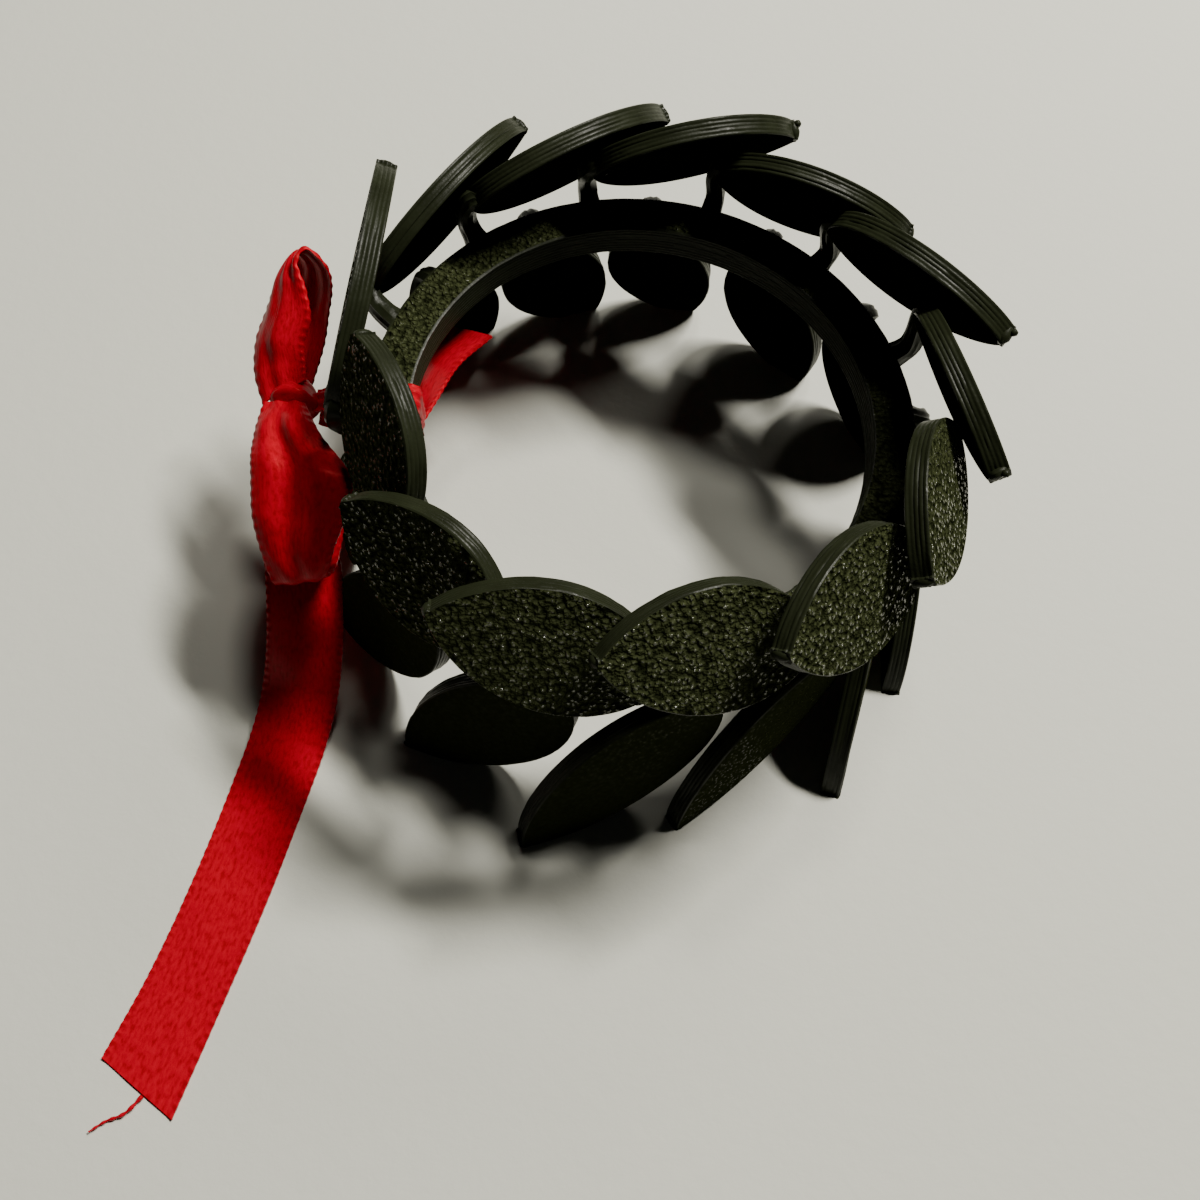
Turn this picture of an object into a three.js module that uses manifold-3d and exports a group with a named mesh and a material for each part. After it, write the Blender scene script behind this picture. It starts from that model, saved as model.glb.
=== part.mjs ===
// A small printed laurel wreath: a flat ring, thirteen leaves standing up from its rim and
// thirteen hanging below it, and a narrow satin ribbon tied round the ring in a bow.
// Millimetres, +Z up. The wreath stands on the cut tips of its lower leaves.

import * as THREE from 'three';
import { mergeVertices } from 'three/addons/utils/BufferGeometryUtils.js';
import Module from 'manifold-3d';

const wasm = await Module();
wasm.setup();

// The ring: a flat band with a rectangular section, its top face level.
const ringOuterRadius = 21.5;
const ringInnerRadius = 18.1;
const ringThickness = 2.8;
const ringTop = 16.5;
const ringSides = 96;

// The leaves: two rows of flat blades, one row above the ring and one below it.
const leavesInRow = 13;
const leafHalfWidth = 4.6;
const leafThickness = 1.6;
const leafTipWidth = 0.9;
const leafSteps = 12;
const stemRadius = 0.8;
const stemSides = 4;
const stemSteps = 8;
const stemReach = 0.12;
const stemGap = 0.3;
const upperRowStart = -47.5;
const lowerRowStart = -33.0;

// The ribbon: 6 mm satin, drawn with a thickness that a solid can hold.
const ribbonThickness = 0.7;
const bandWidth = 2.4;
const knotRadii = [1.3, 1.5, 1.7];
const knotRadius = 26.9;
const knotHeight = -0.9;
const stepsInSpan = 4;
const bowAngle = 262.6;

const degrees = Math.PI / 180;

// A point given by its distance from the ring's axis, its bearing clockwise from the
// rear as seen from above, and its height over the ring's top face.
function ringPoint(radius, bearing, height) {
  const turn = bearing * degrees;
  return new THREE.Vector3(radius * Math.sin(turn), radius * Math.cos(turn), ringTop + height);
}

function material(name, color, roughness) {
  return new THREE.MeshStandardMaterial({ name, color, roughness, metalness: 0 });
}

const olivePlastic = material('olive_plastic', 0x3d4126, 0.45);
const redSatin = material('red_satin', 0xc4081a, 0.4);

function toSolid(geometry) {
  const bare = geometry.clone();
  bare.deleteAttribute('normal');
  bare.deleteAttribute('uv');
  const merged = mergeVertices(bare, 1e-4);
  return new wasm.Manifold(new wasm.Mesh({
    numProp: 3,
    vertProperties: new Float32Array(merged.attributes.position.array),
    triVerts: new Uint32Array(merged.index.array),
  }));
}

function toGeometry(solid) {
  const mesh = solid.getMesh();
  const geometry = new THREE.BufferGeometry();
  geometry.setAttribute('position', new THREE.BufferAttribute(mesh.vertProperties, 3));
  geometry.setIndex(new THREE.BufferAttribute(mesh.triVerts, 1));
  geometry.computeVertexNormals();
  return geometry;
}

function namedMesh(name, solid, finish) {
  const mesh = new THREE.Mesh(toGeometry(solid), finish.clone());
  mesh.name = name;
  return mesh;
}

// The ring, turned from its rectangular section.
function makeRing() {
  const low = ringTop - ringThickness;
  const section = [
    new THREE.Vector2(ringInnerRadius, low),
    new THREE.Vector2(ringOuterRadius, low),
    new THREE.Vector2(ringOuterRadius, ringTop),
    new THREE.Vector2(ringInnerRadius, ringTop),
    new THREE.Vector2(ringInnerRadius, low),
  ];
  const turned = new THREE.LatheGeometry(section, ringSides);
  turned.rotateX(Math.PI / 2);
  return namedMesh('ring', toSolid(turned), olivePlastic);
}

// Half the blade's width at a share of its length: narrow at the stem, widest a little
// before the middle, and drawn in to a blunt point.
function bladeHalfWidth(share) {
  const widestShare = 0.45;
  const baseFullness = 0.62;
  const tipFullness = (baseFullness * (1 - widestShare)) / widestShare;
  const rise = Math.pow(share / widestShare, baseFullness);
  const fall = Math.pow((1 - share) / (1 - widestShare), tipFullness);
  return Math.max(leafTipWidth / 2, leafHalfWidth * rise * fall);
}

function bladeOutline(length) {
  const upper = [];
  const lower = [];
  for (let step = 0; step <= leafSteps; step += 1) {
    const share = (1 - Math.cos((Math.PI * step) / leafSteps)) / 2;
    const half = bladeHalfWidth(share);
    upper.push(new THREE.Vector2(share * length, half));
    lower.unshift(new THREE.Vector2(share * length, -half));
  }
  return new THREE.Shape(lower.reverse().concat(upper.reverse()));
}

// What the leaves are cut by: the surface they stand on, and the ring with a small gap.
function makeFloorBlock() {
  const side = 6 * ringOuterRadius;
  const block = new THREE.BoxGeometry(side, side, ringTop);
  block.translate(0, 0, -ringTop / 2);
  return toSolid(block);
}

function makeRimBlock() {
  const radius = ringOuterRadius + stemGap;
  const height = ringThickness + 2 * stemGap;
  const block = new THREE.CylinderGeometry(radius, radius, height, ringSides);
  block.rotateX(Math.PI / 2);
  block.translate(0, 0, ringTop - ringThickness / 2);
  return toSolid(block);
}

const floorBlock = makeFloorBlock();
const rimBlock = makeRimBlock();

// One leaf: a flat blade from its base to its tip, and the stem that carries it from the
// ring's rim. The face looks outward, turned up by faceTilt.
function makeLeaf(name, row, rootBearing, base, tip, faceTilt) {
  const along = new THREE.Vector3().subVectors(tip, base);
  const length = along.length();
  along.normalize();
  const middle = new THREE.Vector3().addVectors(base, tip).multiplyScalar(0.5);
  const outward = new THREE.Vector3(middle.x, middle.y, 0).normalize();
  const face = outward.multiplyScalar(Math.cos(faceTilt * degrees));
  face.z = Math.sin(faceTilt * degrees);
  face.addScaledVector(along, -face.dot(along)).normalize();
  const across = new THREE.Vector3().crossVectors(face, along);

  const blade = new THREE.ExtrudeGeometry(bladeOutline(length), {
    depth: leafThickness,
    bevelEnabled: false,
    curveSegments: 1,
  });
  blade.translate(0, 0, -leafThickness / 2);
  const place = new THREE.Matrix4().makeBasis(along, across, face);
  place.setPosition(base);
  blade.applyMatrix4(place);

  const foot = ringPoint(ringOuterRadius + stemGap, rootBearing, row.footHeight);
  const knee = ringPoint(row.kneeRadius, rootBearing, row.kneeHeight);
  const stemEnd = base.clone().addScaledVector(along, stemReach * length);
  const stemLine = new THREE.CatmullRomCurve3([foot, knee, base, stemEnd], false, 'centripetal');
  const stemSection = new THREE.Shape();
  stemSection.absarc(0, 0, stemRadius, 0, 2 * Math.PI, false);
  const stem = new THREE.ExtrudeGeometry(stemSection, {
    steps: stemSteps,
    curveSegments: stemSides,
    bevelEnabled: false,
    extrudePath: stemLine,
  });

  const solid = toSolid(blade).add(toSolid(stem)).subtract(floorBlock).subtract(rimBlock);
  return namedMesh(name, solid, olivePlastic);
}

// Where a row's stems leave the rim and how they turn: heights over the ring's top face.
const upperRow = { footHeight: -1.2, kneeRadius: 22.9, kneeHeight: 0 };
const lowerRow = { footHeight: -1.6, kneeRadius: 22.8, kneeHeight: -2.2 };

// How each leaf has been bent, going clockwise from each row's start: its tip's distance
// from the axis, bearing past its own stem and height over the ring's top face, how far
// its face is turned up, and its base's distance, bearing and height.
const upperBends = [
  [27.4, 42.9, 3.6, 23, 21.6, -1.3, 4.2],
  [27.6, 38.2, 5.0, 24, 20.7, -0.7, 4.4],
  [26.9, 37.7, 3.1, 20, 22.6, -0.2, 3.4],
  [27.3, 38.1, 6.1, 24, 22.0, -0.1, 3.9],
  [26.1, 36.4, 5.8, 27, 23.1, -0.7, 3.5],
  [24.7, 34.9, 7.4, 39, 22.8, -1.4, 3.5],
  [24.3, 34.9, 8.8, 43, 23.0, -2.8, 3.2],
  [23.8, 35.1, 8.0, 46, 22.7, -3.4, 4.3],
  [24.9, 33.7, 7.8, 43, 23.0, -3.7, 3.3],
  [23.7, 30.3, 6.4, 34, 22.9, -4.1, 3.7],
  [20.0, 29.2, 10.3, 30, 21.7, -3.5, 3.2],
  [25.3, 42.5, 8.6, 19, 23.0, -3.2, 4.0],
  [28.0, 45.1, 3.1, 19, 24.3, 2.2, 0.8],
];
const lowerBends = [
  [23.6, 16.0, -17.0, 4, 22.2, -4.0, -4.6],
  [24.5, 12.0, -17.0, 4, 22.2, -4.0, -4.6],
  [23.2, 17.0, -17.0, 0, 22.2, -4.0, -4.6],
  [24.7, 16.0, -17.0, 4, 22.2, -4.0, -4.6],
  [28.4, 40.4, -17.0, -4, 23.4, -3.9, -4.6],
  [30.9, 33.2, -17.0, -6, 21.5, -4.9, -5.2],
  [28.7, 31.3, -17.0, -1, 22.9, -4.1, -4.7],
  [31.2, 27.0, -17.0, 0, 22.2, -4.0, -4.7],
  [28.4, 23.0, -17.0, 10, 22.6, -4.0, -4.6],
  [27.2, 24.0, -17.0, 14, 22.6, -4.0, -4.6],
  [26.0, 22.0, -17.0, 10, 22.6, -4.0, -4.6],
  [25.1, 19.1, -17.0, 3, 22.6, -3.9, -4.7],
  [24.5, 17.8, -17.0, 6, 22.4, -4.0, -4.6],
];

function makeRow(word, row, start, bends) {
  return bends.map((bend, index) => {
    const [tipRadius, tipLead, tipHeight, faceTilt, baseRadius, baseLead, baseHeight] = bend;
    const bearing = start + (index * 360) / leavesInRow;
    const base = ringPoint(baseRadius, bearing + baseLead, baseHeight);
    const tip = ringPoint(tipRadius, bearing + tipLead, tipHeight);
    const number = String(index + 1).padStart(2, '0');
    return makeLeaf(`leaf_${word}_${number}`, row, bearing, base, tip, faceTilt);
  });
}

// A length of ribbon: a flat strip through its stations, each a centre point and the width
// there, with the width laid along directions that turn from the first to the last.
function makeStrip(name, stations, widthWays) {
  const line = new THREE.CatmullRomCurve3(stations.map(([x, y, z]) => new THREE.Vector3(x, y, z)));
  const ways = new THREE.CatmullRomCurve3(widthWays.map(([x, y, z]) => new THREE.Vector3(x, y, z)));
  const spans = stations.length - 1;
  const strip = new THREE.BoxGeometry(1, 1, ribbonThickness, 2, spans * stepsInSpan, 1);
  const corners = strip.attributes.position;
  const corner = new THREE.Vector3();
  for (let index = 0; index < corners.count; index += 1) {
    corner.fromBufferAttribute(corners, index);
    const share = corner.y + 0.5;
    const along = line.getTangent(share);
    const across = ways.getPoint(share);
    across.addScaledVector(along, -across.dot(along)).normalize();
    const outward = new THREE.Vector3().crossVectors(across, along);
    const span = Math.min(spans - 1, Math.floor(share * spans));
    const width = THREE.MathUtils.lerp(stations[span][3], stations[span + 1][3], share * spans - span);
    const placed = line.getPoint(share);
    placed.addScaledVector(across, corner.x * width).addScaledVector(outward, corner.z);
    corners.setXYZ(index, placed.x, placed.y, placed.z + ringTop);
  }
  return namedMesh(name, toSolid(strip), redSatin);
}

// The turn of ribbon that holds the bow: round the ring's section and out to the knot.
function makeBand() {
  const outer = [[17.1, 1.0], [22.0, 1.0], [25.2, -0.3], [25.2, -2.3], [22.0, -3.8], [17.1, -3.8]];
  const inner = [[17.8, 0.3], [21.8, 0.3], [24.5, -0.8], [24.5, -1.8], [21.8, -3.1], [17.8, -3.1]];
  const section = new THREE.Shape(outer.map(([x, y]) => new THREE.Vector2(x, y)));
  section.holes.push(new THREE.Path(inner.reverse().map(([x, y]) => new THREE.Vector2(x, y))));
  const band = new THREE.ExtrudeGeometry(section, { depth: bandWidth, bevelEnabled: false });
  band.translate(0, 0, -bandWidth / 2);
  band.rotateX(Math.PI / 2);
  band.rotateZ((90 - bowAngle) * degrees);
  band.translate(0, 0, ringTop);
  return namedMesh('ribbon_band', toSolid(band), redSatin);
}

function makeKnot() {
  const knot = new THREE.SphereGeometry(1, 16, 10);
  knot.rotateX(Math.PI / 2);
  knot.scale(...knotRadii);
  knot.rotateZ((90 - bowAngle) * degrees);
  const centre = ringPoint(knotRadius, bowAngle, knotHeight);
  knot.translate(centre.x, centre.y, centre.z);
  return namedMesh('ribbon_knot', toSolid(knot), redSatin);
}

function makeBow() {
  const rearLoop = makeStrip('ribbon_loop_rear', [
    [-27.4, -1.2, 0.5, 2.4], [-28.4, 0.8, 2.6, 4.6], [-28.3, 3.2, 4.6, 4.8], [-27.4, 5.6, 5.6, 2.6],
    [-26.6, 5.6, 4.4, 2.6], [-26.6, 3.4, 2.0, 4.8], [-27.0, 1.0, -0.2, 4.6], [-27.2, -1.2, -1.3, 2.4],
  ], [[0.9, 0.1, 0.35], [0.9, 0, 0.45], [0.9, 0.1, 0.35]]);
  const frontLoop = makeStrip('ribbon_loop_front', [
    [-27.1, -5.1, 0.0, 2.6], [-25.8, -7.8, 1.2, 5.0], [-24.4, -11.6, 0.9, 6.4],
    [-24.0, -15.2, -1.6, 5.6], [-24.0, -15.2, -3.8, 5.4], [-24.8, -11.2, -3.9, 6.2],
    [-26.0, -7.8, -2.8, 5.0], [-27.0, -5.3, -1.6, 2.6],
  ], [[0.95, 0.1, 0.1], [0.95, 0.1, 0.1]]);
  const frontTail = makeStrip('ribbon_tail_front', [
    [-26.9, -5.4, -3.4, 3.4], [-26.0, -9.5, -5.4, 5.6], [-24.8, -13.5, -6.8, 6.2],
    [-24.0, -17.2, -8.6, 6.2], [-23.8, -20.2, -11.2, 6.2], [-24.1, -23.0, -14.2, 6.2],
    [-24.5, -26.0, -15.9, 6.2], [-24.9, -30.0, -16.1, 6.2], [-25.9, -38.5, -16.1, 6.2],
    [-27.2, -46.5, -16.1, 6.2], [-28.6, -53.2, -16.1, 6.2],
  ], [[0.98, 0, 0], [0.98, -0.1, 0], [0.98, -0.2, 0]]);
  const rearTail = makeStrip('ribbon_tail_rear', [
    [-18.4, -2.6, -4.9, 2.4], [-18.7, 0.8, -5.7, 4.6], [-18.1, 5.4, -6.3, 6.0],
    [-16.0, 9.6, -6.4, 6.0],
  ], [[-0.8, -0.3, -0.5], [-0.8, 0.5, -0.5]]);
  return [makeBand(), makeKnot(), rearLoop, frontLoop, frontTail, rearTail];
}

const wreath = new THREE.Group();
wreath.name = 'laurel_wreath';
wreath.add(makeRing());
wreath.add(...makeRow('upper', upperRow, upperRowStart, upperBends));
wreath.add(...makeRow('lower', lowerRow, lowerRowStart, lowerBends));
wreath.add(...makeBow());

// The origin is under the middle of the whole thing, on the surface it stands on.
const reach = new THREE.Box3().setFromObject(wreath);
wreath.position.set(-(reach.min.x + reach.max.x) / 2, -(reach.min.y + reach.max.y) / 2, 0);

export default wreath;
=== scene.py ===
import math
import random

import bmesh
import bpy
import numpy as np
from mathutils import Matrix, Vector, noise


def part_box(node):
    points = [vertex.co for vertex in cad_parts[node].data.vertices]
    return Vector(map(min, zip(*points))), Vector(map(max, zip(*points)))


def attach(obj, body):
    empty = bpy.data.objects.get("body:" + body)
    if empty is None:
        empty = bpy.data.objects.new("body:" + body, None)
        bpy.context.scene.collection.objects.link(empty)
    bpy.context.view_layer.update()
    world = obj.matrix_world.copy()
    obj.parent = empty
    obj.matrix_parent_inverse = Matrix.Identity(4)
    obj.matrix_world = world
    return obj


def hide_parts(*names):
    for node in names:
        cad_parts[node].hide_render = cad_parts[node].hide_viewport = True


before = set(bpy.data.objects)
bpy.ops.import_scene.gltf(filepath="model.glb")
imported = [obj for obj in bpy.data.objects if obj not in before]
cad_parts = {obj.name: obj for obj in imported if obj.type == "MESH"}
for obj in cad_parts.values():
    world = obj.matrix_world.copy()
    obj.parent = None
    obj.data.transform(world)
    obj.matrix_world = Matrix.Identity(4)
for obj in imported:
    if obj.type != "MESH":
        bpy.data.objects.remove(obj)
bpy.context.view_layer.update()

# The view. The wreath was seen from in front and well above, from less than a hand's
# length away, through the lens of a telephone, held a little turned. All places in this
# script are millimetres from the middle of the ring's top face, turned to metres here.
mm = 0.001
ring_low, ring_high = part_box("ring")
ring_middle = Vector(((ring_low.x + ring_high.x) / 2, (ring_low.y + ring_high.y) / 2, ring_high.z))
ring_top = ring_high.z / mm
view_distance = 85.0
view_height_angle = math.radians(56.9)
view_yaw = math.radians(0.7)
view_pitch = math.radians(-10.1)
view_roll = math.radians(-9.0)
focal_share = 1076 / 1200
sensor = 36.0


def spot(x, y, z):
    return ring_middle + Vector((x, y, z)) * mm


def look_through_lens():
    back = Vector((0, -math.cos(view_height_angle), math.sin(view_height_angle)))
    forward = -back
    right = Vector((1, 0, 0))
    up = right.cross(forward)
    for axis, angle in (("up", view_yaw), ("right", view_pitch), ("forward", view_roll)):
        turn = Matrix.Rotation(angle, 3, {"up": up, "right": right, "forward": forward}[axis])
        forward, right, up = turn @ forward, turn @ right, turn @ up
    lens = bpy.data.cameras.new("telephone_lens")
    lens.sensor_width = sensor
    lens.lens = focal_share * sensor
    lens.clip_start = 0.001
    lens.clip_end = 20
    eye = bpy.data.objects.new("telephone", lens)
    place = Matrix((right, up, -forward)).transposed().to_4x4()
    place.translation = spot(*(back * view_distance))
    eye.matrix_world = place
    bpy.context.scene.collection.objects.link(eye)
    bpy.context.scene.camera = eye


look_through_lens()


# The ring. It is the flat band that carries every leaf, PLA filament printed in nine
# layers. Its top face lay on a textured print plate and took the plate's pebbled gloss;
# its walls show the layers.
ring_outer = 21.5
ring_inner = 18.1
ring_depth = 2.8
layer_height = 0.32
plate_pebble = 0.38
first_layer_squash = 0.03
# The darkest green is painted shade, put into the pebble hollows of the plate faces.
pla_hollow_painted_shade = "#14170b"
pla_olive = "#3b4028"
pla_lit = "#24281a"


def linear(hex_colour):
    """An sRGB hex colour as linear red, green, blue and full cover."""
    values = [int(hex_colour[i : i + 2], 16) / 255 for i in (1, 3, 5)]
    return [v / 12.92 if v <= 0.04045 else ((v + 0.055) / 1.055) ** 2.4 for v in values] + [1.0]


def new_material(name):
    made = bpy.data.materials.new(name)
    made.use_nodes = True
    made.node_tree.nodes.clear()
    return made


def add(material, kind, stops=(), **settings):
    """Adds one shader node. A setting that is a socket becomes a link; _ stands for a space.
    Stops are the places and colours of a ramp."""
    made = material.node_tree.nodes.new(kind)
    for number, (place, colour) in enumerate(stops):
        ramp = made.color_ramp.elements
        if number == len(ramp):
            ramp.new(1.0)
        ramp[number].position = place
        ramp[number].color = colour
    for key, value in settings.items():
        number = key.rsplit("__", 1)
        label = number[0].replace("_", " ")
        if len(number) == 2 and number[1].isdigit():
            socket = made.inputs[int(number[1])]
        elif label in made.inputs:
            socket = made.inputs[label]
        else:
            setattr(made, key, value)
            continue
        if isinstance(value, bpy.types.NodeSocket):
            material.node_tree.links.new(value, socket)
        else:
            socket.default_value = value
    return made


def grey(value):
    return [value, value, value, 1.0]


def plate_side_pla(name, relief_depth, gloss, top_colour, hollow_painted_shade):
    """PLA as it comes off a textured plate: steep little pebbles, glossy, that glint one by one.
    The hollows between the pebbles are painted shade: their colour goes to a nearly black
    green and their gloss is kept to the tops. Where it was dragged off the plate it is nearly smooth."""
    made = new_material(name)
    where = add(made, "ShaderNodeTexCoord").outputs["Object"]
    stir = add(made, "ShaderNodeTexNoise", Vector=where, Scale=1 / (0.6 * mm), Detail=2.0)
    shift = add(made, "ShaderNodeVectorMath", operation="SCALE", Scale=0.5 * mm)
    made.node_tree.links.new(stir.outputs["Color"], shift.inputs[0])
    stirred = add(made, "ShaderNodeVectorMath", operation="ADD", Vector__0=where,
                  Vector__1=shift.outputs[0])
    pebbles = add(
        made, "ShaderNodeTexVoronoi", feature="SMOOTH_F1", Vector=stirred.outputs[0],
        Smoothness=0.3, Scale=1 / (plate_pebble * mm), Randomness=1.0)
    lumps = add(
        made, "ShaderNodeTexNoise", Vector=where, Scale=1 / (0.3 * mm), Detail=2.0, Roughness=0.5)
    low_pebbles = add(made, "ShaderNodeMath", operation="MULTIPLY", Value__0=-1.0,
                      Value__1=pebbles.outputs["Distance"])
    height = add(made, "ShaderNodeMath", operation="MULTIPLY_ADD", Value__0=lumps.outputs["Fac"],
                 Value__1=1.3, Value__2=low_pebbles.outputs[0])
    relief = add(made, "ShaderNodeBump", Strength=1.0, Distance=relief_depth * mm,
                 Height=height.outputs[0])
    # Painted shade: the colour darkens from the pebble tops into the hollows between them.
    colour = add(made, "ShaderNodeValToRGB", Fac=pebbles.outputs["Distance"],
                 stops=[(0.2, linear(top_colour)), (0.85, linear(hollow_painted_shade))])
    tops = add(made, "ShaderNodeValToRGB", Fac=pebbles.outputs["Distance"],
               stops=[(0.14, grey(gloss)), (0.32, grey(0.0))])
    body = add(
        made, "ShaderNodeBsdfPrincipled", Base_Color=colour.outputs["Color"], Roughness=0.14,
        Specular_IOR_Level=tops.outputs["Color"], IOR=1.46, Metallic=0.0,
        Normal=relief.outputs["Normal"])
    add(made, "ShaderNodeOutputMaterial", Surface=body.outputs["BSDF"])
    return made


def wall_pla():
    """The side of stacked PLA layers: each layer's rounded line shines along its length."""
    made = new_material("pla_layer_walls")
    where = add(made, "ShaderNodeTexCoord").outputs["Object"]
    drag = add(
        made, "ShaderNodeTexNoise", Vector=where, Scale=1 / (0.25 * mm), Detail=3.0, Roughness=0.5)
    drift = add(made, "ShaderNodeTexNoise", Vector=where, Scale=1 / (2.5 * mm), Detail=2.0)
    relief = add(made, "ShaderNodeBump", Strength=0.6, Distance=0.03 * mm,
                 Height=drag.outputs["Fac"])
    colour = add(made, "ShaderNodeValToRGB", Fac=drift.outputs["Fac"],
                 stops=[(0.2, linear("#191c10")), (0.8, linear(pla_lit))])
    shine = add(made, "ShaderNodeValToRGB", Fac=drag.outputs["Fac"],
                stops=[(0.3, grey(0.28)), (0.7, grey(0.42))])
    body = add(
        made, "ShaderNodeBsdfPrincipled", Base_Color=colour.outputs["Color"],
        Roughness=shine.outputs["Color"], Specular_IOR_Level=0.1, IOR=1.46, Metallic=0.0,
        Normal=relief.outputs["Normal"])
    add(made, "ShaderNodeOutputMaterial", Surface=body.outputs["BSDF"])
    return made


def shaded_back_pla():
    """The last PLA layer, laid as lines beside each other: fine satin ribs along the outline.
    Its colour is painted nearly black as shade, on the leaves' backs and the ring's underside.
    """
    made = new_material("pla_back_painted_shade")
    lines = add(made, "ShaderNodeUVMap", uv_map="lines").outputs["UV"]
    where = add(made, "ShaderNodeTexCoord").outputs["Object"]
    parts = add(made, "ShaderNodeSeparateXYZ", Vector=lines)
    ribs = add(made, "ShaderNodeMath", operation="MULTIPLY", Value__0=parts.outputs["Y"],
               Value__1=2 * math.pi / 0.42)
    wave = add(made, "ShaderNodeMath", operation="COSINE", Value__0=ribs.outputs[0])
    specks = add(made, "ShaderNodeTexNoise", Vector=where, Scale=1 / (0.3 * mm), Detail=3.0)
    height = add(made, "ShaderNodeMath", operation="MULTIPLY_ADD", Value__0=specks.outputs["Fac"],
                 Value__1=0.7, Value__2=wave.outputs[0])
    relief = add(made, "ShaderNodeBump", Strength=0.5, Distance=0.03 * mm,
                 Height=height.outputs[0])
    drift = add(made, "ShaderNodeTexNoise", Vector=where, Scale=1 / (3 * mm), Detail=2.0)
    # Painted shade: these faces are coloured nearly black, far darker than the olive PLA.
    colour = add(made, "ShaderNodeValToRGB", Fac=drift.outputs["Fac"],
                 stops=[(0.3, linear("#060703")), (0.75, linear("#0d0f08"))])
    body = add(
        made, "ShaderNodeBsdfPrincipled", Base_Color=colour.outputs["Color"], Roughness=0.5,
        Specular_IOR_Level=0.0, IOR=1.46, Metallic=0.0, Normal=relief.outputs["Normal"])
    add(made, "ShaderNodeOutputMaterial", Surface=body.outputs["BSDF"])
    return made


plate_side = plate_side_pla("pla_off_textured_plate", 0.34, 0.8, pla_olive, pla_hollow_painted_shade)
rubbed_side = plate_side_pla("pla_rubbed_smooth", 0.03, 0.03, "#272b17", "#202412")
layer_wall = wall_pla()
shaded_back = shaded_back_pla()
pla_finishes = [plate_side, layer_wall, shaded_back]
rubbed_finishes = [rubbed_side, layer_wall, shaded_back]


def layer_edge(depth, layers, seed_place):
    """Heights down a printed wall and how far each lies inside its layer's fullest line."""
    heights = []
    insets = []
    steps = 4
    for layer in range(layers):
        for step in range(steps):
            share = step / steps
            groove = 0.05 * (0.5 + 0.5 * math.cos(2 * math.pi * share)) ** 2
            wander = 0.05 * noise.noise(Vector((layer * 3.7, seed_place, 0.5)))
            squash = first_layer_squash * math.exp(-((layer + share) ** 2) / 0.5)
            heights.append(depth * (layer + share) / layers)
            insets.append(groove + wander - squash + 0.02)
    heights.append(depth)
    insets.append(0.12)
    insets[0] = 0.10
    return heights, insets


def mesh_piece(name, points, faces, finish, materials, lines=None, sharp=38):
    """A mesh from points in millimetres, with a finish number for each face."""
    mesh = bpy.data.meshes.new(name)
    mesh.from_pydata([tuple(spot(*p)) for p in points], [], faces)
    for material in materials:
        mesh.materials.append(material)
    mesh.polygons.foreach_set("material_index", finish)
    mesh.polygons.foreach_set("use_smooth", [True] * len(faces))
    if lines is not None:
        layer = mesh.uv_layers.new(name="lines")
        corners = np.zeros(len(mesh.loops), dtype=np.int32)
        mesh.loops.foreach_get("vertex_index", corners)
        layer.data.foreach_set("uv", np.asarray(lines, dtype=np.float32)[corners].ravel())
    shaper = bmesh.new()
    shaper.from_mesh(mesh)
    bmesh.ops.recalc_face_normals(shaper, faces=shaper.faces)
    shaper.to_mesh(mesh)
    shaper.free()
    mesh.set_sharp_from_angle(angle=math.radians(sharp))
    piece = bpy.data.objects.new(name, mesh)
    bpy.context.scene.collection.objects.link(piece)
    return piece


def make_ring():
    around = 420
    heights, insets = layer_edge(ring_depth, 9, 11.0)
    section = []
    across = 9
    for step in range(across):
        share = step / (across - 1)
        radius = ring_inner + 0.18 + share * (ring_outer - ring_inner - 0.36)
        section.append((radius, 0.0, 0, min(share, 1 - share)))
    for height, inset in list(zip(heights, insets))[1:]:
        section.append((ring_outer - inset, -height, 1, 0.0))
    for step in range(across):
        share = 1 - step / (across - 1)
        radius = ring_inner + 0.2 + share * (ring_outer - ring_inner - 0.4)
        section.append((radius, -ring_depth, 2, min(share, 1 - share)))
    for height, inset in reversed(list(zip(heights, insets))[1:]):
        section.append((ring_inner + inset, -height, 1, 0.0))
    points = []
    lines = []
    for turn in range(around):
        bearing = 2 * math.pi * turn / around
        for radius, height, kind, inward in section:
            way = Vector((math.sin(bearing), math.cos(bearing), 0))
            ripple = noise.noise(way * 30 + Vector((0, 0, height * 3))) * (0.03 if kind == 1 else 0.0)
            dip = noise.noise(way * 7) * 0.03
            points.append((*(way * (radius + ripple)).xy, height + dip))
            lines.append((bearing * ring_outer, inward * (ring_outer - ring_inner)))
    faces = []
    finish = []
    count = len(section)
    for turn in range(around):
        for index in range(count):
            after = (index + 1) % count
            later = (turn + 1) % around
            faces.append((turn * count + index, later * count + index,
                          later * count + after, turn * count + after))
            both = {section[index][2], section[after][2]}
            finish.append(1 if 1 in both else both.pop())
    ring = mesh_piece("laurel_ring", points, faces, finish, pla_finishes, lines)
    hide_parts("ring")
    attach(ring, "root")


make_ring()

# The leaves. Twenty-six flat PLA blades, printed in one with the ring in five layers and
# then bent up or down on their narrow stems. Each outward face came off the textured
# plate, the edges show the five layers, and the tips end in a blunt blob of filament.
leaves_in_row = 13
leaf_half_width = 4.6
leaf_thickness = 1.6
leaf_tip_width = 0.9
leaf_layers = 5
blade_stations = 44
blade_columns = 11
stem_half = 0.72
upper_row_start = -47.5
lower_row_start = -33.0
floor_height = -ring_top
drop_tips = {("upper", 1), ("upper", 3), ("upper", 4)}
nub_leaf = ("upper", 8)

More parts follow.
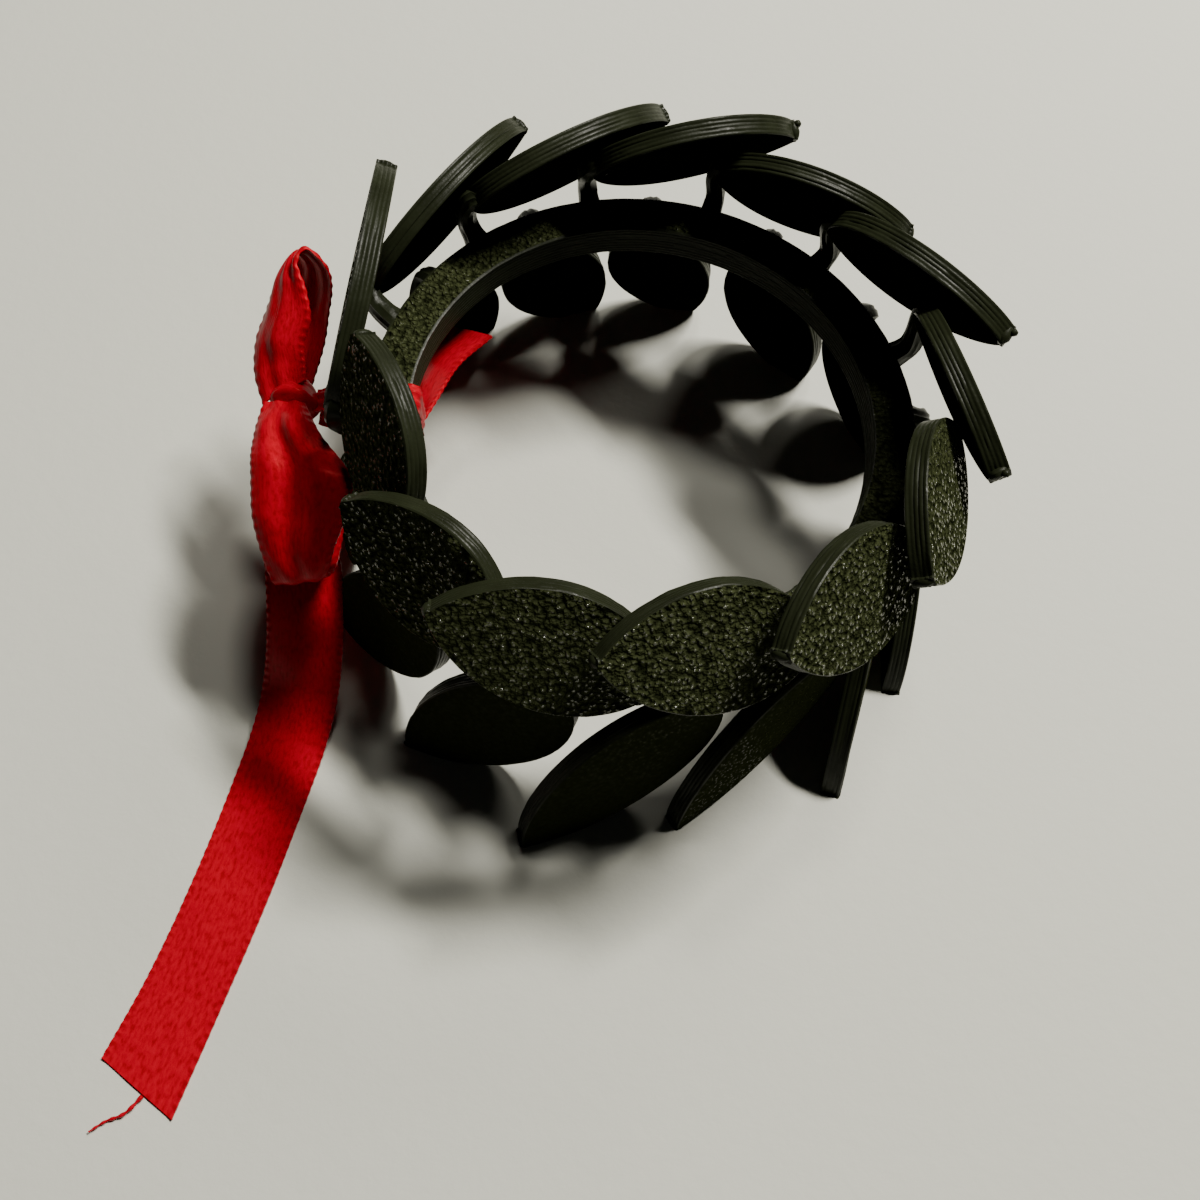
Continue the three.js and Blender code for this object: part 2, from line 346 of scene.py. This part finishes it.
# Each leaf's tip distance, bearing past its stem and height, how far its face is turned
# up, and its base's distance, bearing and height, clockwise from each row's start.
upper_bends = [
    (27.4, 42.9, 3.6, 23, 21.6, -1.3, 4.2),
    (27.6, 38.2, 5.0, 24, 20.7, -0.7, 4.4),
    (26.9, 37.7, 3.1, 20, 22.6, -0.2, 3.4),
    (27.3, 38.1, 6.1, 24, 22.0, -0.1, 3.9),
    (26.1, 36.4, 5.8, 27, 23.1, -0.7, 3.5),
    (24.7, 34.9, 7.4, 39, 22.8, -1.4, 3.5),
    (24.3, 34.9, 8.8, 43, 23.0, -2.8, 3.2),
    (23.8, 35.1, 8.0, 46, 22.7, -3.4, 4.3),
    (24.9, 33.7, 7.8, 43, 23.0, -3.7, 3.3),
    (23.7, 30.3, 6.4, 34, 22.9, -4.1, 3.7),
    (20.0, 29.2, 10.3, 30, 21.7, -3.5, 3.2),
    (25.3, 42.5, 8.6, 19, 23.0, -3.2, 4.0),
    (28.0, 45.1, 3.1, 19, 24.3, 2.2, 0.8),
]
lower_bends = [
    (23.6, 16.0, -17.0, 4, 22.2, -4.0, -4.6),
    (24.5, 12.0, -17.0, 4, 22.2, -4.0, -4.6),
    (23.2, 17.0, -17.0, 0, 22.2, -4.0, -4.6),
    (24.7, 16.0, -17.0, 4, 22.2, -4.0, -4.6),
    (28.4, 40.4, -17.0, -4, 23.4, -3.9, -4.6),
    (30.9, 33.2, -17.0, -6, 21.5, -4.9, -5.2),
    (28.7, 31.3, -17.0, -1, 22.9, -4.1, -4.7),
    (31.2, 27.0, -17.0, 0, 22.2, -4.0, -4.7),
    (28.4, 23.0, -17.0, 10, 22.6, -4.0, -4.6),
    (27.2, 24.0, -17.0, 14, 22.6, -4.0, -4.6),
    (26.0, 22.0, -17.0, 10, 22.6, -4.0, -4.6),
    (25.1, 19.1, -17.0, 3, 22.6, -3.9, -4.7),
    (24.5, 17.8, -17.0, 6, 22.4, -4.0, -4.6),
]


def on_rim(radius, bearing, height):
    turn = math.radians(bearing)
    return Vector((radius * math.sin(turn), radius * math.cos(turn), height))


def blade_half_width(share):
    widest = 0.45
    base_fullness = 0.62
    tip_fullness = base_fullness * (1 - widest) / widest
    rise = (share / widest) ** base_fullness
    fall = ((1 - share) / (1 - widest)) ** tip_fullness
    return max(leaf_tip_width / 2, leaf_half_width * rise * fall)


def smooth_line(points, count):
    """Points along a centripetal Catmull-Rom line, evenly shared between its spans."""
    given = [Vector(p) for p in points]
    given = [2 * given[0] - given[1]] + given + [2 * given[-1] - given[-2]]
    spans = len(points) - 1
    made = []
    for step in range(count):
        place = spans * step / (count - 1)
        span = min(spans - 1, int(place))
        t = place - span
        before, start, end, after = given[span : span + 4]
        gap_before = max(1e-4, (start - before).length ** 0.5)
        gap = max(1e-4, (end - start).length ** 0.5)
        gap_after = max(1e-4, (after - end).length ** 0.5)
        leave = (start - before) / gap_before - (end - before) / (gap_before + gap) + (end - start) / gap
        arrive = (end - start) / gap - (after - start) / (gap + gap_after) + (after - end) / gap_after
        leave *= gap
        arrive *= gap
        made.append(
            start + leave * t + (-3 * start + 3 * end - 2 * leave - arrive) * t * t
            + (2 * start - 2 * end + leave + arrive) * t * t * t)
    return made


class Shape:
    """Points, faces, finishes and rib lines gathered for one leaf."""

    def __init__(self):
        self.points = []
        self.faces = []
        self.finish = []
        self.lines = []

    def loft(self, rows, marks, kinds, end_kind):
        first = len(self.points)
        count = len(rows[0])
        for row, mark in zip(rows, marks):
            self.points += row
            self.lines += mark
        for turn in range(len(rows) - 1):
            for index in range(count):
                after = (index + 1) % count
                a = first + turn * count
                self.faces.append((a + index, a + after, a + count + after, a + count + index))
                self.finish.append(kinds[index])
        self.faces.append(tuple(range(first, first + count)))
        last = first + (len(rows) - 1) * count
        self.faces.append(tuple(reversed(range(last, last + count))))
        self.finish += [end_kind, end_kind]


def add_blade(shape, base, tip, face, number):
    along = (tip - base)
    length = along.length
    along.normalize()
    across = face.cross(along)
    heights, insets = layer_edge(leaf_thickness, leaf_layers, number * 1.7)
    rows = []
    marks = []
    kinds = []
    for station in range(blade_stations + 1):
        share = (1 - math.cos(math.pi * station / blade_stations)) / 2
        half = blade_half_width(share)
        crown = 0.12 * math.sin(math.pi * share)
        row = []
        mark = []
        kinds = []

        def put(sideways, height, kind):
            cup = crown - 0.18 * (sideways / leaf_half_width) ** 2
            row.append(base + along * (share * length) + across * sideways + face * (height + cup))
            mark.append((share * length, half - abs(sideways)))
            kinds.append(kind)

        for column in range(blade_columns):
            side = 1 - 2 * column / (blade_columns - 1)
            put(side * (half - insets[0]), leaf_thickness / 2, 0)
        kinds[-1] = 1
        for side in (-1, 1):
            pairs = list(zip(heights, insets))[1:-1]
            if side == 1:
                pairs.reverse()
            for height, inset in pairs:
                layer = int(height / leaf_thickness * leaf_layers)
                place = Vector((share * length * 0.9, layer * 5.3 + side, number * 2.1))
                wander = 0.045 * noise.noise(place) + 0.03 * noise.noise(place * 3.1)
                put(side * (half - inset + wander), leaf_thickness / 2 - height, 1)
            if side == -1:
                for column in range(blade_columns):
                    step = -1 + 2 * column / (blade_columns - 1)
                    put(step * (half - insets[-1]), -leaf_thickness / 2, 2)
                kinds[-1] = 1
        rows.append(row)
        marks.append(mark)
    shape.loft(rows, marks, kinds, 1)
    return along, across, length


def add_stem(shape, points, widths, number):
    stations = 26
    sides = 20
    line = smooth_line(points, stations)
    rows = []
    marks = []
    side_way = Vector((-points[0].y, points[0].x, 0)).normalized()
    for station, middle in enumerate(line):
        share = station / (stations - 1)
        ahead = line[min(station + 1, stations - 1)] - line[max(station - 1, 0)]
        ahead.normalize()
        across = (side_way - ahead * side_way.dot(ahead)).normalized()
        out = ahead.cross(across)
        half = smooth_value(widths, share)
        row = []
        for side in range(sides):
            turn = 2 * math.pi * side / sides
            square = (abs(math.cos(turn)) ** 4 + abs(math.sin(turn)) ** 4) ** -0.25
            rib = 1 + 0.05 * math.cos(10 * turn)
            wander = 1 + 0.10 * noise.noise(Vector((share * 5, side * 0.7, number * 3.3)))
            reach = half * square * rib * wander
            row.append(middle + across * (reach * math.cos(turn)) + out * (reach * math.sin(turn)))
        rows.append(row)
        marks.append([(share * 4, 0.5)] * sides)
    shape.loft(rows, marks, [1] * sides, 1)


def smooth_value(values, share):
    place = share * (len(values) - 1)
    span = min(len(values) - 2, int(place))
    t = place - span
    t = t * t * (3 - 2 * t)
    return values[span] * (1 - t) + values[span + 1] * t


def add_blob(shape, middle, sizes, ways, number, lumpy=0.22):
    """A small drop of filament, rounder than it is even."""
    rings = 7
    sides = 12
    rows = []
    marks = []
    for ring in range(1, rings):
        lift = math.pi * ring / rings
        row = []
        for side in range(sides):
            turn = 2 * math.pi * side / sides
            way = Vector((math.sin(lift) * math.cos(turn), math.sin(lift) * math.sin(turn), math.cos(lift)))
            bump = 1 + lumpy * noise.noise(way * 1.6 + Vector((number * 4.1, 0, 0)))
            row.append(middle + (ways[0] * (way.x * sizes[0]) + ways[1] * (way.y * sizes[1])
                                 + ways[2] * (way.z * sizes[2])) * bump)
        rows.append(row)
        marks.append([(0.0, 0.5)] * sides)
    shape.loft(rows, marks, [1] * sides, 1)


def make_leaf(word, number, start, bend, foot_height, knee_radius, knee_height):
    tip_radius, tip_lead, tip_height, face_turn, base_radius, base_lead, base_height = bend
    bearing = start + number * 360 / leaves_in_row
    base = on_rim(base_radius, bearing + base_lead, base_height)
    tip = on_rim(tip_radius, bearing + tip_lead, tip_height)
    along = (tip - base).normalized()
    outward = ((base + tip) / 2 * Vector((1, 1, 0))).normalized()
    turn = math.radians(face_turn)
    face = outward * math.cos(turn) + Vector((0, 0, math.sin(turn)))
    face = (face - along * face.dot(along)).normalized()
    chance = random.Random(f"{word} {number}")
    shape = Shape()
    seed_place = number + (0 if word == "upper" else 50)
    along, across, length = add_blade(shape, base, tip, face, seed_place)
    foot = on_rim(ring_outer - 0.25, bearing, foot_height)
    knee = on_rim(knee_radius, bearing, knee_height)
    into_blade = base + along * (0.16 * length)
    add_stem(shape, [foot, knee, base, into_blade], [0.95, 0.78, 0.72, 0.70, 0.45], seed_place)
    drop = chance.uniform(0.42, 0.6)
    sideways = chance.choice((-1, 1)) * chance.uniform(0.1, 0.3)
    ways = (along, across, face)
    if (word, number) in drop_tips:
        add_blob(
            shape, tip - along * 0.25 + across * sideways - face * 0.1,
            (0.5, drop, leaf_thickness * 0.5), ways, seed_place)
        add_blob(
            shape, tip + along * 0.15 + across * (sideways * 2.0) + face * 0.35,
            (0.32, 0.28, 0.30), ways, seed_place + 0.5)
    else:
        add_blob(shape, tip - along * 0.12, (0.42, 0.42, leaf_thickness * 0.48), ways, seed_place, 0.06)
    if (word, number) == nub_leaf:
        add_blob(
            shape, base + along * (0.62 * length) + across * (0.93 * blade_half_width(0.62)),
            (0.5, 0.3, 0.4), ways, seed_place + 0.5)
    points = [(p[0], p[1], max(p[2], floor_height)) for p in shape.points]
    finishes = pla_finishes if word == "upper" else rubbed_finishes
    leaf = mesh_piece(
        f"laurel_{word}_{number + 1:02d}", points, shape.faces, shape.finish, finishes, shape.lines)
    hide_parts(f"leaf_{word}_{number + 1:02d}")
    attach(leaf, "root")


for number, bend in enumerate(upper_bends):
    make_leaf("upper", number, upper_row_start, bend, -1.2, 22.9, 0.0)
for number, bend in enumerate(lower_bends):
    make_leaf("lower", number, lower_row_start, bend, -1.6, 22.8, -2.2)

# The ribbon's turn and knot. A 6 mm polyester satin ribbon goes once round the ring, is
# gathered to half its width there, and is tied over itself in a small tight knot outside
# the ring. Satin shows long threads along its length and shines across them.
satin_thick = 0.16
satin_width = 6.2
thread_pitch = 0.3
selvedge_step = 0.75
bow_bearing = 262.6
satin_deep = "#920012"
satin_red = "#aa001c"
satin_light = "#b40422"


def woven_satin():
    """Polyester satin: long threads lie along the ribbon, so it shines across them in a soft
    streak that breaks into pearly glints thread by thread."""
    made = new_material("polyester_satin_woven")
    cloth = add(made, "ShaderNodeUVMap", uv_map="lines").outputs["UV"]
    parts = add(made, "ShaderNodeSeparateXYZ", Vector=cloth)
    floats = add(made, "ShaderNodeMapping", Vector=cloth,
                 Scale=(1 / thread_pitch, 1 / (thread_pitch * 2.2), 1.0))
    grain = add(made, "ShaderNodeTexNoise", Vector=floats.outputs[0], Scale=1.0, Detail=2.0,
                Roughness=0.55)
    threads = add(made, "ShaderNodeMath", operation="MULTIPLY", Value__0=parts.outputs["X"],
                  Value__1=2 * math.pi / thread_pitch)
    rows = add(made, "ShaderNodeMath", operation="COSINE", Value__0=threads.outputs[0])
    height = add(made, "ShaderNodeMath", operation="MULTIPLY_ADD", Value__0=rows.outputs[0],
                 Value__1=0.06, Value__2=grain.outputs["Fac"])
    relief = add(made, "ShaderNodeBump", Strength=0.8, Distance=0.04 * mm,
                 Height=height.outputs[0])
    colour = add(made, "ShaderNodeValToRGB", Fac=grain.outputs["Fac"], stops=[
        (0.3, linear(satin_deep)), (0.5, linear(satin_red)), (0.75, linear(satin_light))])
    steps = add(made, "ShaderNodeMath", operation="MULTIPLY", Value__0=parts.outputs["Y"],
                Value__1=2 * math.pi / selvedge_step)
    stitches = add(made, "ShaderNodeMath", operation="COSINE", Value__0=steps.outputs[0])
    sideways = add(made, "ShaderNodeMath", operation="ABSOLUTE", Value__0=parts.outputs["X"])
    rim = add(made, "ShaderNodeMapRange", Value=sideways.outputs[0], From_Min=0.42 * satin_width,
              From_Max=0.46 * satin_width, To_Min=0.0, To_Max=1.0)
    knots = add(made, "ShaderNodeMath", operation="MULTIPLY", Value__0=rim.outputs[0],
                Value__1=stitches.outputs[0], use_clamp=True)
    selvedge = add(made, "ShaderNodeMix", data_type="RGBA", Factor__0=knots.outputs[0],
                   A__6=colour.outputs["Color"], B__7=linear(satin_deep))
    along = add(made, "ShaderNodeTangent", direction_type="UV_MAP", uv_map="lines")
    body = add(
        made, "ShaderNodeBsdfPrincipled", Base_Color=selvedge.outputs[2], Roughness=0.34,
        IOR=1.5, Specular_IOR_Level=0.22, Metallic=0.0, Specular_Tint=linear("#ff4848"),
        Anisotropic=0.6,
        Tangent=along.outputs[0], Normal=relief.outputs["Normal"])
    add(made, "ShaderNodeOutputMaterial", Surface=body.outputs["BSDF"])
    return made


satin = woven_satin()


def satin_strip(name, stations, rows, nodes, gather=0.3, ripple=0.05, valley=0.0, extra=None):
    """A length of ribbon. A station is a place on one selvedge, the place across from it on
    the other, and how far the cloth between them swells outward, less a valley along its
    middle. Where it is narrower than its own width, it gathers into folds along it."""
    columns = 36
    one_edge = smooth_line([s[0] for s in stations], rows)
    other_edge = smooth_line([s[1] for s in stations], rows)
    swells = [s[2] for s in stations]
    middle = [(a + b) / 2 for a, b in zip(one_edge, other_edge)]
    travelled = [0.0]
    for before, after in zip(middle, middle[1:]):
        travelled.append(travelled[-1] + (after - before).length)
    upper = []
    lower = []
    lines = []
    for index, point in enumerate(middle):
        share = index / (rows - 1)
        ahead = (middle[min(index + 1, rows - 1)] - middle[max(index - 1, 0)]).normalized()
        span = other_edge[index] - one_edge[index]
        width = span.length
        across = span.normalized()
        out = ahead.cross(across).normalized()
        swell = smooth_value(swells, share)
        bunched = max(0.0, 1 - width / (0.85 * satin_width))
        for column in range(columns):
            side = column / (columns - 1) - 0.5
            fold = gather * bunched * math.sin(15 * side + 0.5 * math.sin(5 * side) + len(name))
            soft = ripple * noise.noise(Vector((side * 3, travelled[index] * 0.3, len(name))))
            edge = max(0.0, 1 - (0.5 - abs(side)) * width / 0.4)
            bead = 0.5 + 0.5 * math.cos(2 * math.pi * travelled[index] / selvedge_step)
            reach = side * width + math.copysign(0.03 * bead * edge, side)
            dent = valley * swell * math.exp(-((side + 0.08) / 0.16) ** 2)
            lift = swell * (1 - 4 * side * side) - dent + fold + soft
            place = point + across * reach + out * lift
            half = satin_thick / 2 * (1 + 0.9 * edge * bead)
            upper.append(place + out * half)
            lower.append(place - out * half)
            lines.append((side * satin_width, travelled[index]))
    points = upper + lower
    below = len(upper)
    faces = []
    for index in range(rows - 1):
        for column in range(columns - 1):
            a = index * columns + column
            b = a + columns
            faces.append((a, b, b + 1, a + 1))
            faces.append((below + a, below + a + 1, below + b + 1, below + b))
        left = index * columns
        right = left + columns - 1
        faces.append((left, below + left, below + left + columns, left + columns))
        faces.append((right, right + columns, below + right + columns, below + right))
    for column in range(columns - 1):
        last = (rows - 1) * columns + column
        faces.append((column, column + 1, below + column + 1, below + column))
        faces.append((last, below + last, below + last + 1, last + 1))
    lines = lines + lines
    if extra:
        add_points, add_faces = extra
        first = len(points)
        points = points + add_points
        faces += [tuple(first + corner for corner in face) for face in add_faces]
        lines = lines + [(0.1, 0.02 * place) for place in range(len(add_points))]
    points = [(p[0], p[1], max(p[2], floor_height + 0.02)) for p in points]
    strip = mesh_piece(name, points, faces, [0] * len(faces), [satin], lines, sharp=80)
    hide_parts(*nodes)
    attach(strip, "root")
    return strip


def make_turn():
    route = [(25.3, -0.5, 2.0), (22.2, 0.55, 2.4), (19.6, 0.6, 2.4), (17.5, 0.4, 2.4),
             (17.35, -1.4, 2.4), (17.5, -3.3, 2.4), (19.6, -3.45, 2.4), (22.2, -3.3, 2.4),
             (25.3, -2.1, 2.0)]
    side = on_rim(1, bow_bearing + 90, 0)
    stations = []
    for radius, height, width in route:
        middle = on_rim(radius, bow_bearing, height)
        stations.append((middle - side * (width / 2), middle + side * (width / 2), 0.0))
    satin_strip("satin_turn", stations, 90, ["ribbon_band"], gather=0.16, ripple=0.02)


def make_knot():
    middle = on_rim(26.9, bow_bearing, -0.7)
    out = on_rim(1, bow_bearing, 0)
    side = on_rim(1, bow_bearing + 90, 0)
    up = Vector((0, 0, 1))
    rows = 40
    around = 64
    points = []
    lines = []
    for row in range(rows):
        share = row / (rows - 1) * 2 - 1
        swell = math.sqrt(1 - 0.94 * share * share)
        for step in range(around):
            turn = 2 * math.pi * step / around
            slide = share + 0.15 * math.sin(turn)
            fold = 0.06 * math.cos(5.5 * slide + 0.8)
            way = Vector((share * 2, math.cos(turn), math.sin(turn)))
            reach = swell * (1 + fold) + 0.10 * noise.noise(way)
            points.append(
                middle + side * (share * 1.75 + 0.25 * math.sin(turn))
                + out * (1.8 * reach * math.cos(turn)) + up * (1.9 * reach * math.sin(turn)))
            lines.append((share * 1.6, 5 * turn / math.pi))
    faces = []
    for row in range(rows - 1):
        for step in range(around):
            after = (step + 1) % around
            a = row * around
            faces.append((a + step, a + after, a + around + after, a + around + step))
    faces.append(tuple(range(around)))
    faces.append(tuple(reversed(range((rows - 1) * around, rows * around))))
    knot = mesh_piece("satin_knot", points, faces, [0] * len(faces), [satin], lines, sharp=80)
    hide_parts("ribbon_knot")
    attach(knot, "root")


make_turn()
make_knot()

# The bow's two loops. Each is the same satin folded back on itself and gathered under the
# knot: a narrow one that stands up to the rear and a fuller one that leans to the front.


def make_loops():
    satin_strip(
        "satin_loop_rear", [
            ((-25.8, -2.6, 1.0), (-28.9, -4.4, -0.4), 0.3),
            ((-26.1, -1.4, 1.5), (-30.1, -2.0, 0.0), 0.6),
            ((-26.4, 0.0, 2.1), (-30.5, 0.4, 0.6), 0.9),
            ((-26.1, 1.6, 3.0), (-30.3, 2.6, 1.4), 0.9),
            ((-26.8, 3.6, 4.2), (-29.9, 4.8, 2.4), 0.6),
            ((-27.7, 5.2, 5.0), (-29.2, 6.5, 3.0), 0.3),
            ((-27.3, 6.4, 5.2), (-28.9, 7.2, 2.9), 0.2),
            ((-25.8, 5.8, 4.2), (-28.7, 6.8, 2.2), 0.3),
            ((-25.3, 4.6, 3.0), (-29.0, 5.0, 1.0), 0.5),
            ((-25.5, 2.8, 1.2), (-29.2, 2.6, -0.2), 0.6),
            ((-25.6, 0.6, 0.0), (-28.8, 0.4, -1.0), 0.4),
            ((-26.0, -2.0, -1.2), (-28.4, -2.4, -1.7), 0.1)],
        220, ["ribbon_loop_rear"], gather=0.22, ripple=0.25)
    satin_strip(
        "satin_loop_front", [
            ((-28.6, -4.6, 0.2), (-25.4, -4.4, 0.8), 0.4),
            ((-28.6, -7.4, 0.2), (-23.4, -7.2, 1.6), 1.0),
            ((-28.0, -10.6, 0.0), (-20.2, -10.6, 1.4), 1.2),
            ((-27.3, -13.6, -1.0), (-20.3, -13.0, 0.2), 0.9),
            ((-26.4, -15.8, -2.4), (-20.9, -14.9, -1.2), 0.7),
            ((-25.4, -17.2, -4.2), (-21.4, -16.2, -3.4), 0.3),
            ((-26.2, -15.2, -4.9), (-21.3, -14.6, -4.4), 0.3),
            ((-27.8, -11.2, -4.0), (-21.6, -11.0, -3.6), 0.3),
            ((-28.4, -7.8, -3.0), (-23.8, -7.8, -2.5), 0.3),
            ((-28.2, -5.3, -1.7), (-26.0, -5.3, -1.4), 0.1)],
        230, ["ribbon_loop_front"], gather=0.25, ripple=0.3, valley=0.7)


make_loops()

# The ribbon's two tails. The front one, 57 mm long, drops from the knot to the surface
# and lies out over it to a slanted cut, where one thread has come loose. The rear one, 14
# mm long, comes through inside the ring.


def loose_thread():
    route = smooth_line([(-28.0, -53.6, -16.25), (-28.9, -54.9, -16.2), (-30.1, -55.6, -16.3),
                         (-31.0, -56.4, -16.2)], 30)
    sides = 8
    points = []
    for index, middle in enumerate(route):
        ahead = (route[min(index + 1, 29)] - route[max(index - 1, 0)]).normalized()
        across = ahead.cross(Vector((0, 0, 1))).normalized()
        out = across.cross(ahead)
        reach = 0.15 * (1 + 0.3 * math.sin(index * 1.3)) * (1 - 0.5 * index / 29)
        for side in range(sides):
            turn = 2 * math.pi * side / sides
            points.append(middle + across * (reach * math.cos(turn)) + out * (reach * math.sin(turn)))
    faces = []
    for index in range(29):
        for side in range(sides):
            after = (side + 1) % sides
            a = index * sides
            faces.append((a + side, a + after, a + sides + after, a + sides + side))
    faces.append(tuple(range(sides)))
    faces.append(tuple(reversed(range(29 * sides, 30 * sides))))
    return points, faces


def make_tails():
    satin_strip(
        "satin_tail_front", [
            ((-28.5, -5.4, -3.4), (-25.3, -5.4, -3.4), 0.2),
            ((-28.8, -9.4, -5.4), (-23.2, -9.6, -5.4), 0.4),
            ((-27.9, -13.4, -6.8), (-21.7, -13.6, -6.8), 0.4),
            ((-27.1, -17.0, -8.6), (-20.9, -17.4, -8.6), 0.4),
            ((-26.9, -20.0, -11.2), (-20.7, -20.4, -11.2), 0.4),
            ((-27.2, -22.7, -14.2), (-21.0, -23.3, -14.2), 0.3),
            ((-27.6, -25.6, -15.9), (-21.4, -26.4, -15.9), 0.2),
            ((-28.0, -29.6, -16.38), (-21.9, -30.5, -16.38), 0.1),
            ((-28.9, -38.0, -16.38), (-22.9, -39.0, -16.38), 0.0),
            ((-30.2, -45.8, -16.38), (-24.2, -47.2, -16.38), 0.0),
            ((-31.7, -51.6, -16.38), (-25.5, -54.8, -16.38), 0.0)],
        460, ["ribbon_tail_front"], extra=loose_thread())
    satin_strip(
        "satin_tail_rear", [
            ((-17.7, -2.2, -4.4), (-19.2, -3.0, -5.4), 0.1),
            ((-16.9, 1.2, -4.6), (-20.5, 0.4, -6.8), 0.2),
            ((-15.9, 5.2, -5.0), (-20.4, 5.6, -7.6), 0.2),
            ((-13.8, 8.6, -5.2), (-18.2, 10.6, -7.6), 0.1)],
        110, ["ribbon_tail_rear"])


make_tails()

# The surface. A plain, warm grey card under the wreath, matt, with a barely rough face.
card_grey = "#cfd0c5"


def make_floor():
    made = new_material("matt_card_pressed")
    where = add(made, "ShaderNodeTexCoord").outputs["Object"]
    fibres = add(made, "ShaderNodeTexNoise", Vector=where, Scale=1 / (1.6 * mm), Detail=5.0,
                 Roughness=0.6)
    relief = add(made, "ShaderNodeBump", Strength=0.35, Distance=0.12 * mm,
                 Height=fibres.outputs["Fac"])
    body = add(made, "ShaderNodeBsdfPrincipled", Base_Color=linear(card_grey), Roughness=0.85,
               IOR=1.45, Metallic=0.0, Normal=relief.outputs["Normal"])
    add(made, "ShaderNodeOutputMaterial", Surface=body.outputs["BSDF"])
    mesh = bpy.data.meshes.new("card")
    half = 1.5
    mesh.from_pydata([(-half, -half, 0), (half, -half, 0), (half, half, 0), (-half, half, 0)],
                     [], [(0, 1, 2, 3)])
    mesh.materials.append(made)
    card = bpy.data.objects.new("card", mesh)
    bpy.context.scene.collection.objects.link(card)


make_floor()

# The light. One long soft lamp hangs behind to the right, so shadows fall to the front and
# left with edges that are sharp one way and soft the other. A second, lower one gives the
# fainter shadows farther out, and a small one straight behind glints on the ring's top.


def lamp(name, place, length, width, power, colour):
    light = bpy.data.lights.new(name, "AREA")
    light.shape = "RECTANGLE"
    light.size = length
    light.size_y = width
    light.energy = power
    light.color = linear(colour)[:3]
    holder = bpy.data.objects.new(name, light)
    holder.location = spot(*place)
    aim = spot(0, 0, -10) - holder.location
    holder.rotation_mode = "QUATERNION"
    holder.rotation_quaternion = aim.to_track_quat("-Z", "Y")
    bpy.context.scene.collection.objects.link(holder)


lamp("lamp_long", (216, 240, 445), 0.16, 0.05, 5.4, "#fffbf2")
lamp("lamp_long_low", (170, 320, 285), 0.2, 0.05, 0.35, "#fffbf2")
lamp("lamp_behind", (38, 272, 476), 0.08, 0.05, 0.75, "#fffbf2")
world = bpy.data.worlds.new("room")
bpy.context.scene.world = world
world.use_nodes = True
world.node_tree.nodes["Background"].inputs["Color"].default_value = linear("#d8d8d6")
world.node_tree.nodes["Background"].inputs["Strength"].default_value = 0.009
